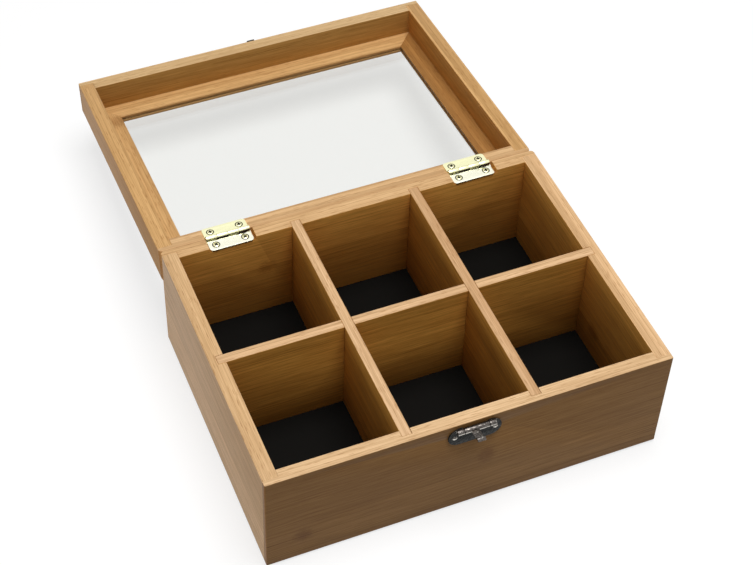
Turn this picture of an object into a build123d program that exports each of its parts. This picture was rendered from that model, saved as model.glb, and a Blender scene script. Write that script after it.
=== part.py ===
"""Six-compartment wooden tea bag box with a hinged, glazed lid and a swing latch.

The box is drawn in millimetres about its own centre, with the underside at z = 0 and the front
towards -Y. The lid and the latch lever are drawn closed, then turned open about their own pins.
Last, everything moves so that the origin is on the front wall's underside, at its middle.
"""
from build123d import *
from math import acos, atan2, cos, degrees, hypot, radians, sin
import os

# ---- overall sizes --------------------------------------------------------------------------
box_width = 217.0        # left to right
box_depth = 160.0        # front to back
base_height = 68.3       # underside to rim
lid_height = 21.4        # rim to top
rim_gap = 0.3            # between the two rims when the lid is shut

# ---- boards ---------------------------------------------------------------------------------
side_wall = 8.2          # left and right walls
end_wall = 7.4           # front and back walls
corner_lip = 3.0         # what an end board keeps in front of a side board's end
edge_round = 2.0         # underside of the base and top of the lid
front_corner_round = 0.8
back_corner_round = 2.5
eased_edge = 0.35        # sanded rim edges
floor_top = 8.0
floor_thick = 3.0
floor_groove = 3.4       # depth of the groove that holds the floor panel
floor_play = 0.2
divider_thick = 5.4
side_dado = 4.2          # depth of the long divider's grooves in the side walls
end_dado = 3.8           # depth of the cross dividers' grooves in the end walls
divider_play = 0.1       # on each side of a divider in its groove or slot

# ---- lid ------------------------------------------------------------------------------------
lid_side_rail = 8.2
lid_end_rail = 8.3
frame_thick = 5.4        # mitred strips round the window, flush with the lid's top
frame_side = 10.6
frame_end = 12.0
pane_thick = 2.0
pane_depth = 1.4         # from the lid's top down to the pane
pane_groove = 4.5
pane_play = 0.15

# ---- hinges ---------------------------------------------------------------------------------
hinge_length = 24.4
hinge_inset = 38.2       # side of the box to the middle of a mortise
hinge_shift = -0.3       # both hinges sit this far off their mortises' centres
hinge_end_play = 0.9     # each end of a hinge in its mortise
knuckle_radius = 1.3
knuckle_count = 4
knuckle_gap = 0.16
leaf_thick = 0.7
leaf_reach = 8.8         # from the pin to the leaf's far edge
leaf_corner = 1.8
leaf_clearance = 0.35    # leaf to the other leaf's knuckles
hinge_pin_radius = 0.65
running_fit = 0.05
pin_set_back = 1.05      # hinge pin behind the back wall's outer face
rest_clearance = 0.3     # open lid to the back wall

# ---- hinge screws ---------------------------------------------------------------------------
screw_reach = 5.1        # from the hinge pin
screw_pitch = 16.2
screw_head_radius = 1.95
screw_head_height = 0.45
screw_head_rim = 0.12
screw_radius = 1.0
screw_length = 9.0
screw_tip = 2.0
recess_width = 0.5
recess_length = 1.8
recess_depth = 0.7
hole_play = 0.15
pilot_play = 0.03

# ---- latch ----------------------------------------------------------------------------------
latch_sheet = 0.8
latch_plate_length = 28.4
latch_plate_height = 12.0
latch_plate_drop = 2.3   # rim to the plate's top edge
latch_pin_drop = 3.4     # rim to the pivot
latch_barrel_radius = 1.5
latch_barrel_gap = 0.3   # barrel to the front wall
latch_pin_radius = 0.6
barrel_length = 20.6
curl_length = 3.5        # each curl of the wall plate round the pin
curl_gap = 0.3
tongue_width = 4.2
tongue_shift = -1.0      # the tongue's middle, to the left of the barrel's
tongue_bend = 2.6        # pivot to where the tongue stands clear of the barrel
hook_clearance = 0.5     # inside of the tongue to the tip of the lip
hook_start = 0.3         # these three are heights over the lip
hook_top = 1.45
hook_end = 2.8
hook_reach = 0.55        # how far the hook comes in over the lip
tip_flare = 1.35         # how far the tip turns out again
latch_rest_angle = 80.0  # from shut to where the lever sticks out
nail_spread = 21.6
nail_head_radius = 1.35
nail_head_height = 0.55
nail_radius = 0.5
nail_length = 5.5

# ---- catch on the lid -----------------------------------------------------------------------
catch_length = 17.0
catch_height = 7.6
catch_rise = 1.0         # lid's rim to the lip's underside
lip_width = 4.6
lip_past_pin = 0.6       # lip's tip in front of the latch pin
catch_nail_spread = 11.6

# ---- places that follow from the sizes ------------------------------------------------------
half_width = box_width / 2
half_depth = box_depth / 2
inner_x = half_width - side_wall
inner_y = half_depth - end_wall
floor_bottom = floor_top - floor_thick
lid_rim = base_height + rim_gap
lid_top = lid_rim + lid_height
bay = (2 * inner_x - 2 * divider_thick) / 3
cross_divider_x = (bay + divider_thick) / 2
hinge_y = half_depth + pin_set_back
hinge_z = lid_rim - knuckle_radius
mortise_length = hinge_length + 2 * hinge_end_play
mortise_depth = 2 * knuckle_radius - rim_gap
mortise_x = {"left": hinge_inset - half_width, "right": half_width - hinge_inset}
hinge_x = {side: x + hinge_shift for side, x in mortise_x.items()}
latch_pin_out = latch_barrel_radius + latch_barrel_gap
latch_y = -half_depth - latch_pin_out
latch_z = base_height - latch_pin_drop
lip_out = latch_pin_out + lip_past_pin
lip_top = lid_rim + catch_rise + latch_sheet - latch_z
origin_y = -half_depth + end_wall / 2


def block(x0, x1, y0, y1, z0, z1):
    """A box between two corners."""
    middle = ((x0 + x1) / 2, (y0 + y1) / 2, (z0 + z1) / 2)
    return Pos(*middle) * Box(x1 - x0, y1 - y0, z1 - z0)


def outline(width, height, radii):
    """A rectangle about the origin with its own radius at each corner: --, +-, ++, -+."""
    face = Rectangle(width, height)
    signs = [(-1, -1), (1, -1), (1, 1), (-1, 1)]
    for (sx, sy), radius in zip(signs, radii):
        if radius:
            corner = face.vertices().sort_by_distance((sx * width / 2, sy * height / 2, 0))[0]
            face = fillet(corner, radius)
    return face


def envelope(z0, z1, low_round, high_round):
    """The outside of the base or of the lid, with every outer edge at its own radius."""
    height = z1 - z0
    middle = (z0 + z1) / 2
    front, back = front_corner_round, back_corner_round
    rounds = [low_round, low_round, high_round, high_round]
    plan = outline(box_width, box_depth, [front, front, back, back])
    tower = Pos(0, 0, z0) * extrude(plan, height)
    front_view = Plane.XZ * outline(box_width, height, rounds)
    along_y = Pos(0, 0, middle) * extrude(front_view, box_depth, both=True)
    side_view = Plane.YZ * outline(box_depth, height, rounds)
    along_x = Pos(0, 0, middle) * extrude(side_view, box_width, both=True)
    return tower & along_y & along_x


def end_board(sign, thick, side_thick, z0, z1, rim_at_top):
    """A front (-1) or back (+1) board: full width, rebated at each end for the side boards."""
    outer = sign * half_depth
    inner = sign * (half_depth - thick)
    board = block(-half_width, half_width, min(outer, inner), max(outer, inner), z0, z1)
    long_edges = board.edges().filter_by(Axis.X)
    rim_edges = long_edges.group_by(Axis.Z)[-1 if rim_at_top else 0]
    board = fillet(rim_edges.sort_by(Axis.Y)[0 if sign > 0 else -1], eased_edge)
    lip = sign * (half_depth - corner_lip)
    for side in (-1, 1):
        x0, x1 = sorted((side * (half_width - side_thick), side * half_width))
        board -= block(x0, x1, min(lip, inner), max(lip, inner), z0, z1)
    return board


def side_board(sign, thick, z0, z1, rim_at_top):
    """A left (-1) or right (+1) board: its ends stand in the end boards' rebates."""
    outer = sign * half_width
    inner = sign * (half_width - thick)
    reach = half_depth - corner_lip
    board = block(min(outer, inner), max(outer, inner), -reach, reach, z0, z1)
    long_edges = board.edges().filter_by(Axis.Y)
    rim_edges = long_edges.group_by(Axis.Z)[-1 if rim_at_top else 0]
    return fillet(rim_edges.sort_by(Axis.X)[0 if sign > 0 else -1], eased_edge)


def floor_panel():
    """The dark panel, held in a groove all round."""
    x = inner_x + floor_groove - floor_play
    y = inner_y + floor_groove - floor_play
    return block(-x, x, -y, y, floor_bottom, floor_top)


def floor_groove_cut():
    """The groove for the floor panel, cut into all four walls."""
    x = inner_x + floor_groove
    y = inner_y + floor_groove
    return block(-x, x, -y, y, floor_bottom, floor_top + floor_play)


def long_divider():
    """The left-to-right divider, slotted from the top where the cross dividers pass."""
    end = inner_x + side_dado - divider_play
    t = divider_thick / 2
    board = block(-end, end, -t, t, floor_top, base_height)
    board = fillet(board.edges().filter_by(Axis.X).group_by(Axis.Z)[-1], eased_edge)
    half = (floor_top + base_height) / 2
    s = t + divider_play
    for side in (-1, 1):
        x = side * cross_divider_x
        board -= block(x - s, x + s, -half_depth, half_depth, half, base_height)
    return board


def cross_divider(side):
    """A front-to-back divider, slotted from below over the long divider."""
    end = inner_y + end_dado - divider_play
    t = divider_thick / 2
    x = side * cross_divider_x
    board = block(x - t, x + t, -end, end, floor_top, base_height)
    board = fillet(board.edges().filter_by(Axis.Y).group_by(Axis.Z)[-1], eased_edge)
    half = (floor_top + base_height) / 2
    s = t + divider_play
    return board - block(x - t, x + t, -s, s, floor_top, half)


def dado_cuts():
    """Grooves in the walls for the ends of the three dividers, open at the rim."""
    s = divider_thick / 2 + divider_play
    x = inner_x + side_dado
    y = inner_y + end_dado
    cuts = block(-x, x, -s, s, floor_bottom, base_height)
    for side in (-1, 1):
        c = side * cross_divider_x
        cuts += block(c - s, c + s, -y, y, floor_bottom, base_height)
    return cuts


def screw():
    """A raised-head cross-recess screw along -Z, its head seated at z = 0."""
    rim = screw_head_rim
    crown = (screw_head_radius / 2, rim + 0.78 * (screw_head_height - rim))
    neck = screw_length - screw_tip
    profile = [
        ThreePointArc((0, screw_head_height), crown, (screw_head_radius, rim)),
        Polyline((screw_head_radius, rim), (screw_head_radius, 0), (screw_radius, 0),
                 (screw_radius, -neck), (0, -screw_length), (0, screw_head_height)),
    ]
    body = revolve(Plane.XZ * make_face(profile), Axis.Z)
    floor = screw_head_height - recess_depth
    for w, l in ((recess_width, recess_length), (recess_length, recess_width)):
        body -= block(-w / 2, w / 2, -l / 2, l / 2, floor, screw_head_height + 1)
    return body


def nail():
    """A domed nail along +Y, its head seated at y = 0 and standing out to -Y."""
    crown = (nail_head_radius * 0.62, nail_head_height * 0.76)
    profile = [
        ThreePointArc((0, nail_head_height), crown, (nail_head_radius, 0)),
        Polyline((nail_head_radius, 0), (nail_radius, 0), (nail_radius, -nail_length),
                 (0, -nail_length - 2 * nail_radius), (0, nail_head_height)),
    ]
    return Rot(90, 0, 0) * revolve(Plane.XZ * make_face(profile), Axis.Z)


def screw_places(side):
    """The two screws of one leaf, by their distance along the hinge."""
    return [(hinge_x[side] + s * screw_pitch / 2, hinge_y - screw_reach) for s in (-1, 1)]


def base_leaf_top():
    return hinge_z - knuckle_radius + leaf_thick


def lid_leaf_under():
    return hinge_z + knuckle_radius - leaf_thick


def base_screws(side):
    return [Pos(x, y, base_leaf_top()) * screw() for x, y in screw_places(side)]


def lid_screws(side):
    turned = Rot(180, 0, 0) * screw()
    return [Pos(x, y, lid_leaf_under()) * turned for x, y in screw_places(side)]


def pilot_hole(x, y, z0, z1):
    radius = screw_radius + pilot_play
    return Pos(x, y, (z0 + z1) / 2) * Cylinder(radius, abs(z1 - z0))


def knuckle(index):
    """One barrel length of a hinge, about the X axis, counted from its left end."""
    pitch = hinge_length / knuckle_count
    x = -hinge_length / 2 + (index + 0.5) * pitch
    length = pitch - knuckle_gap
    barrel = Cylinder(knuckle_radius, length) - Cylinder(hinge_pin_radius + running_fit, length)
    return Pos(x, 0, 0) * Rot(0, 90, 0) * barrel, x - length / 2, x + length / 2


def hinge_leaf(first_knuckle):
    """A lower leaf, from the pin towards -Y. Its knuckles are every second one."""
    low, high = -knuckle_radius, -knuckle_radius + leaf_thick
    clear = knuckle_radius + leaf_clearance
    plate_depth = leaf_reach - clear
    plan = outline(hinge_length, plate_depth, [leaf_corner, leaf_corner, 0, 0])
    leaf = Pos(0, -clear - plate_depth / 2, low) * extrude(plan, leaf_thick)
    for index in range(first_knuckle, knuckle_count, 2):
        barrel, x0, x1 = knuckle(index)
        web = block(x0, x1, -clear - leaf_corner, 0, low, high)
        bore = Rot(0, 90, 0) * Cylinder(hinge_pin_radius + running_fit, 2 * hinge_length)
        leaf += barrel + (web - bore)
    for s in (-1, 1):
        hole = Cylinder(screw_radius + hole_play, 4 * leaf_thick)
        leaf -= Pos(s * screw_pitch / 2, -screw_reach, low) * hole
    return leaf


def base_leaf(side):
    return Pos(hinge_x[side], hinge_y, hinge_z) * hinge_leaf(0)


def lid_leaf(side):
    """The upper leaf is the lower one turned over, so its knuckles fill the gaps."""
    over = mirror(hinge_leaf(1), about=Plane.XY)
    return Pos(hinge_x[side], hinge_y, hinge_z) * over


def hinge_pin(side):
    """The pin through all of a hinge's knuckles."""
    pin = Rot(0, 90, 0) * Cylinder(hinge_pin_radius, hinge_length)
    return Pos(hinge_x[side], hinge_y, hinge_z) * pin


def back_wall_cuts():
    """Mortises for the hinges, open at the back, and the screws' pilot holes."""
    cuts = Part()
    floor = base_height - mortise_depth
    for side, x in mortise_x.items():
        l = mortise_length / 2
        cuts += block(x - l, x + l, inner_y - 1, half_depth + 1, floor, base_height + 1)
        for sx, sy in screw_places(side):
            cuts += pilot_hole(sx, sy, floor + 1, floor - screw_length)
    return cuts


def lid_rail_cuts():
    """Pilot holes for the upper leaves' screws, which lie on the rail's rim."""
    cuts = Part()
    for side in mortise_x:
        for sx, sy in screw_places(side):
            cuts += pilot_hole(sx, sy, lid_rim - 1, lid_rim + screw_length)
    return cuts


def frame_strip(end, sign):
    """A mitred strip of the window frame: front or back (end) or left or right."""
    z0 = lid_top - frame_thick
    x = half_width - lid_side_rail
    y = half_depth - lid_end_rail
    wx, wy = x - frame_side, y - frame_end
    corners = {(sx, sy): (sx * x, sy * y) for sx in (-1, 1) for sy in (-1, 1)}
    inner = {(sx, sy): (sx * wx, sy * wy) for sx in (-1, 1) for sy in (-1, 1)}
    a, b = ((-1, sign), (1, sign)) if end else ((sign, -1), (sign, 1))
    plan = make_face(Polyline(corners[a], corners[b], inner[b], inner[a], corners[a]))
    strip = Pos(0, 0, z0) * extrude(plan, frame_thick)
    return strip - pane_groove_cut()


def pane_size():
    """Half the clear opening of the window, along X and Y."""
    x = half_width - lid_side_rail - frame_side
    y = half_depth - lid_end_rail - frame_end
    return x, y


def pane_groove_cut():
    """The groove in the inner edges of the window strips."""
    x, y = pane_size()
    x += pane_groove
    y += pane_groove
    top = lid_top - pane_depth
    return block(-x, x, -y, y, top - pane_thick - pane_play, top + pane_play)


def window_pane():
    """The clear pane, loose in its groove."""
    x, y = pane_size()
    x += pane_groove - pane_play
    y += pane_groove - pane_play
    top = lid_top - pane_depth
    return block(-x, x, -y, y, top - pane_thick, top)


def oblong_plate(length, height, middle):
    """An oblong plate with round ends, its back on the box's front face."""
    return Pos(0, -half_depth, middle) * extrude(Plane.XZ * SlotOverall(length, height), latch_sheet)


def latch_curls():
    """The two turned-over ends of the wall plate that hold the latch pin."""
    curls = []
    for side in (-1, 1):
        x = side * (barrel_length - curl_length) / 2
        tube = Cylinder(latch_barrel_radius, curl_length)
        tube -= Cylinder(latch_pin_radius + running_fit, curl_length)
        curls.append(Pos(x, latch_y, latch_z) * Rot(0, 90, 0) * tube)
    return curls


def latch_plate():
    """The wall plate: oblong, notched at the top for the lever, with a curl each side of it."""
    top = base_height - latch_plate_drop
    middle = top - latch_plate_height / 2
    plate = oblong_plate(latch_plate_length, latch_plate_height, middle)
    notch = barrel_length / 2 - curl_length
    front = -half_depth - 2 * latch_pin_out
    low = latch_z - latch_barrel_radius - curl_gap
    plate -= block(-notch, notch, front, -half_depth, low, base_height)
    for curl in latch_curls():
        plate += curl
    pin_room = Cylinder(latch_pin_radius + running_fit, barrel_length)
    plate -= Pos(0, latch_y, latch_z) * Rot(0, 90, 0) * pin_room
    for place in nail_places():
        plate -= Pos(*place) * Rot(90, 0, 0) * Cylinder(nail_radius + pilot_play, 4)
    return plate


def nail_places():
    z = base_height - latch_plate_drop - latch_plate_height / 2
    y = -half_depth - latch_sheet
    return [(s * nail_spread / 2, y, z) for s in (-1, 1)]


def latch_pin():
    """The pin through both curls and the lever's barrel."""
    pin = Cylinder(latch_pin_radius, barrel_length)
    return Pos(0, latch_y, latch_z) * Rot(0, 90, 0) * pin


def tongue_line():
    """The middle of the tongue's sheet, seen from the left end of the pin, with the lever shut."""
    seat = latch_barrel_radius - latch_sheet / 2
    out = lip_past_pin + hook_clearance + latch_sheet / 2
    inside = lip_past_pin - hook_reach
    corners = [
        (-seat, 0),
        (-out, tongue_bend),
        (-out, lip_top + hook_start),
        (-inside, lip_top + hook_top),
        (-inside - tip_flare, lip_top + hook_end),
    ]
    return FilletPolyline(*corners, radius=[3 * latch_sheet, latch_sheet, 0.9 * latch_sheet])


def latch_lever():
    """The T-shaped lever, drawn shut: a barrel round the pin and a tongue hooked over the lip."""
    length = barrel_length - 2 * curl_length - 2 * curl_gap
    barrel = Rot(0, 90, 0) * Cylinder(latch_barrel_radius, length)
    sheet = Plane.YZ * trace(tongue_line(), latch_sheet)
    tongue = Pos(tongue_shift, 0, 0) * extrude(sheet, tongue_width / 2, both=True)
    lever = barrel + tongue
    lever -= Rot(0, 90, 0) * Cylinder(latch_pin_radius + running_fit, barrel_length)
    return Pos(0, latch_y, latch_z) * lever


def catch_places():
    z = lid_rim + catch_rise + catch_height / 2
    return [(s * catch_nail_spread / 2, -half_depth - latch_sheet, z) for s in (-1, 1)]


def catch_plate():
    """The oblong plate on the lid, its lower edge bent out into the lip that the lever hooks."""
    low = lid_rim + catch_rise
    plate = oblong_plate(catch_length, catch_height, low + catch_height / 2)
    w = lip_width / 2
    plate += block(-w, w, -half_depth - lip_out, -half_depth, low, low + latch_sheet)
    for place in catch_places():
        plate -= Pos(*place) * Rot(90, 0, 0) * Cylinder(nail_radius + pilot_play, 4)
    return plate


def nail_holes(places):
    cuts = Part()
    for x, y, z in places:
        length = 2 * (nail_length + 2 * nail_radius)
        cuts += Pos(x, y, z) * Rot(90, 0, 0) * Cylinder(nail_radius + pilot_play, length)
    return cuts


def lid_open_angle():
    """How far the lid turns back until its rounded top edge is just clear of the back wall."""
    across = pin_set_back + edge_round
    along = knuckle_radius + lid_height - edge_round
    reach = edge_round - pin_set_back + rest_clearance
    past = acos(reach / hypot(across, along)) - atan2(along, across)
    return 180 + degrees(past)


def base_pieces():
    """Everything that stays with the box when the lid opens."""
    outside = envelope(0, base_height, edge_round, eased_edge)
    grooves = floor_groove_cut() + dado_cuts()
    front = end_board(-1, end_wall, side_wall, 0, base_height, True) & outside
    back = end_board(1, end_wall, side_wall, 0, base_height, True) & outside
    pieces = {
        "front_wall": front - grooves - nail_holes(nail_places()),
        "back_wall": back - grooves - back_wall_cuts(),
        "left_wall": (side_board(-1, side_wall, 0, base_height, True) & outside) - grooves,
        "right_wall": (side_board(1, side_wall, 0, base_height, True) & outside) - grooves,
        "floor_panel": floor_panel(),
        "long_divider": long_divider(),
        "left_cross_divider": cross_divider(-1),
        "right_cross_divider": cross_divider(1),
        "latch_plate": latch_plate(),
        "latch_plate_nails": [Pos(*place) * nail() for place in nail_places()],
        "latch_pin": latch_pin(),
    }
    for side in hinge_x:
        pieces[f"{side}_hinge_base_leaf"] = base_leaf(side)
        pieces[f"{side}_hinge_base_screws"] = base_screws(side)
        pieces[f"{side}_hinge_pin"] = hinge_pin(side)
    return pieces


def lid_pieces():
    """Everything that turns with the lid, drawn shut."""
    outside = envelope(lid_rim, lid_top, eased_edge, edge_round)
    z0, z1 = lid_rim, lid_top
    front = end_board(-1, lid_end_rail, lid_side_rail, z0, z1, False) & outside
    back = end_board(1, lid_end_rail, lid_side_rail, z0, z1, False) & outside
    pieces = {
        "lid_front_rail": front - nail_holes(catch_places()),
        "lid_back_rail": back - lid_rail_cuts(),
        "lid_left_rail": side_board(-1, lid_side_rail, z0, z1, False) & outside,
        "lid_right_rail": side_board(1, lid_side_rail, z0, z1, False) & outside,
        "window_frame_front": frame_strip(True, -1),
        "window_frame_back": frame_strip(True, 1),
        "window_frame_left": frame_strip(False, -1),
        "window_frame_right": frame_strip(False, 1),
        "window_pane": window_pane(),
        "catch_plate": catch_plate(),
        "catch_plate_nails": [Pos(*place) * nail() for place in catch_places()],
    }
    for side in hinge_x:
        pieces[f"{side}_hinge_lid_leaf"] = lid_leaf(side)
        pieces[f"{side}_hinge_lid_screws"] = lid_screws(side)
    return pieces


def save(name, shapes):
    """Write one piece, or a group of like pieces, at its place about the origin."""
    solids = []
    for shape in shapes:
        solids += [Pos(0, -origin_y, 0) * solid for solid in shape.solids()]
    export_step(solids[0] if len(solids) == 1 else Compound(children=solids), f"parts/{name}.step")


def turned(pieces, axis, angle):
    """The same pieces, turned about an axis, each as a list of shapes."""
    result = {}
    for name, shapes in pieces.items():
        shapes = shapes if isinstance(shapes, list) else [shapes]
        result[name] = [shape.rotate(axis, angle) for shape in shapes]
    return result


os.makedirs("parts", exist_ok=True)
hinge_axis = Axis((0, hinge_y, hinge_z), (1, 0, 0))
latch_axis = Axis((0, latch_y, latch_z), (1, 0, 0))
groups = [
    turned(base_pieces(), hinge_axis, 0),
    turned(lid_pieces(), hinge_axis, -lid_open_angle()),
    turned({"latch_lever": latch_lever()}, latch_axis, latch_rest_angle),
]
for group in groups:
    for piece_name, piece_shapes in group.items():
        save(piece_name, piece_shapes)
print("lid opens", round(lid_open_angle(), 3), "degrees")
print("hinge pin at y", round(hinge_y - origin_y, 3), "z", round(hinge_z, 3))
print("latch pin at y", round(latch_y - origin_y, 3), "z", round(latch_z, 3))
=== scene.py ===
"""A six-compartment bamboo tea bag box, lid laid open on its hinges, set up as in its photograph."""
from functools import partial
from math import cos, pi, radians, sin
import bmesh
import bpy
from mathutils import Euler, Matrix, Vector


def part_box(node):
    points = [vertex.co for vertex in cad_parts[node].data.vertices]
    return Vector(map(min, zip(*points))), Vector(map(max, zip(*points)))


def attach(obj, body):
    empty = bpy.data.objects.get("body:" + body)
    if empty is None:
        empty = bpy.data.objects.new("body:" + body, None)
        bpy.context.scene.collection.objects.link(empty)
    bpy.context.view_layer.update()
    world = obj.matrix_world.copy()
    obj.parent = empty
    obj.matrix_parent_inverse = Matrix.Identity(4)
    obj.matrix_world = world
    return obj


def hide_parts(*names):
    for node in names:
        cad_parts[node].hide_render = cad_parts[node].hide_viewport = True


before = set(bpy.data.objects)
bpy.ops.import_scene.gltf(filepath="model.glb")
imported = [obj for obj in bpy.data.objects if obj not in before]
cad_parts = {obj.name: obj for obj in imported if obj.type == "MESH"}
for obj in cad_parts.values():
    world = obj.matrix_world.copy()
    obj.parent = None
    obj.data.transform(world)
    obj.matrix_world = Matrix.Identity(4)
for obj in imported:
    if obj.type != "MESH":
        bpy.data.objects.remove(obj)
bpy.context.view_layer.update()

# ---- Walls ----------------------------------------------------------------------------------
# Four boards pressed from flat bamboo strips, caramel-steamed, sanded and sealed with a thin
# matt lacquer. The front and back boards are rebated over the side boards and glued; every cut
# edge is just broken with fine paper, so each joint shows as a hair line.
no_joint = (999, 0, 1)
# The face tones are set board by board for the light on each face: the front board's is darkened as painted
# shade on its outer face, turned from the lamps, and the back and right boards' are lightened as painted
# light on their inner faces, in the box's shade.
wall_boards = {
    # name: CAD node, grain runs along, seed, face tone, rim tone, two joints of the culm
    "front_board": ("front_wall", "x", 3.0, (0.325, 0.165, 0.052), (0.77, 0.515, 0.285),
                    ((8, 3, 8), (-89, -16, 6))),
    "back_board": ("back_wall", "x", 11.0, (0.66, 0.32, 0.065), (0.60, 0.37, 0.175),
                   ((-52, 8, 5), no_joint)),
    "left_board": ("left_wall", "y", 23.0, (0.60, 0.38, 0.20), (0.66, 0.42, 0.21),
                   (no_joint, no_joint)),
    "right_board": ("right_wall", "y", 31.0, (0.61, 0.30, 0.060), (0.72, 0.46, 0.24),
                    ((-20, -9, 6), no_joint)),
}
wall_streaks = 0.30
strip_width, layer_thickness, rim_tone_depth = 19.0, 2.7, 0.35
mm = 0.001
per_metre = 1000
sanded_edge = 0.16 * mm
quarter_turn = radians(90)


def add(tree, kind, settings=None, inputs=None):
    """Adds one node to a tree, with its settings, and its inputs set or fed from other nodes."""
    node = tree.nodes.new(kind)
    for key, value in (settings or {}).items():
        setattr(node, key, value)
    for key, value in (inputs or {}).items():
        if isinstance(value, bpy.types.NodeSocket):
            tree.links.new(value, node.inputs[key])
        elif isinstance(value, bpy.types.Node):
            tree.links.new(value.outputs[0], node.inputs[key])
        else:
            node.inputs[key].default_value = value
    return node


def sums(tree, operation, *values):
    """A Math node on one or two values."""
    return add(tree, "ShaderNodeMath", {"operation": operation}, dict(enumerate(values)))


def arithmetic(tree, *operations):
    """One short function for each kind of Math node, for use in one tree."""
    return [partial(sums, tree, operation) for operation in operations]


def vector(tree, x, y, z):
    """A vector put together from three values."""
    return add(tree, "ShaderNodeCombineXYZ", None, {0: x, 1: y, 2: z})


def apart(tree, value):
    """The three values of a vector."""
    return add(tree, "ShaderNodeSeparateXYZ", None, {0: value}).outputs


def stretch(tree, value, low, high, out_low=0.0, out_high=1.0, smooth=True):
    """A value spread from low..high to out_low..out_high, and held there."""
    kind = {"interpolation_type": "SMOOTHSTEP" if smooth else "LINEAR"}
    ends = {0: value, 1: low, 2: high, 3: out_low, 4: out_high}
    return add(tree, "ShaderNodeMapRange", kind, ends)


def tint(tree, blend, amount, a, b):
    """A Mix node on two colours."""
    node = add(tree, "ShaderNodeMix", {"data_type": "RGBA", "blend_type": blend})
    for key, value in ((0, amount), (6, a), (7, b)):
        if isinstance(value, (bpy.types.Node, bpy.types.NodeSocket)):
            source = value.outputs[0] if isinstance(value, bpy.types.Node) else value
            tree.links.new(source, node.inputs[key])
        elif key and len(value) == 3:
            node.inputs[key].default_value = (*value, 1.0)
        else:
            node.inputs[key].default_value = value
    return node.outputs[2]


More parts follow.
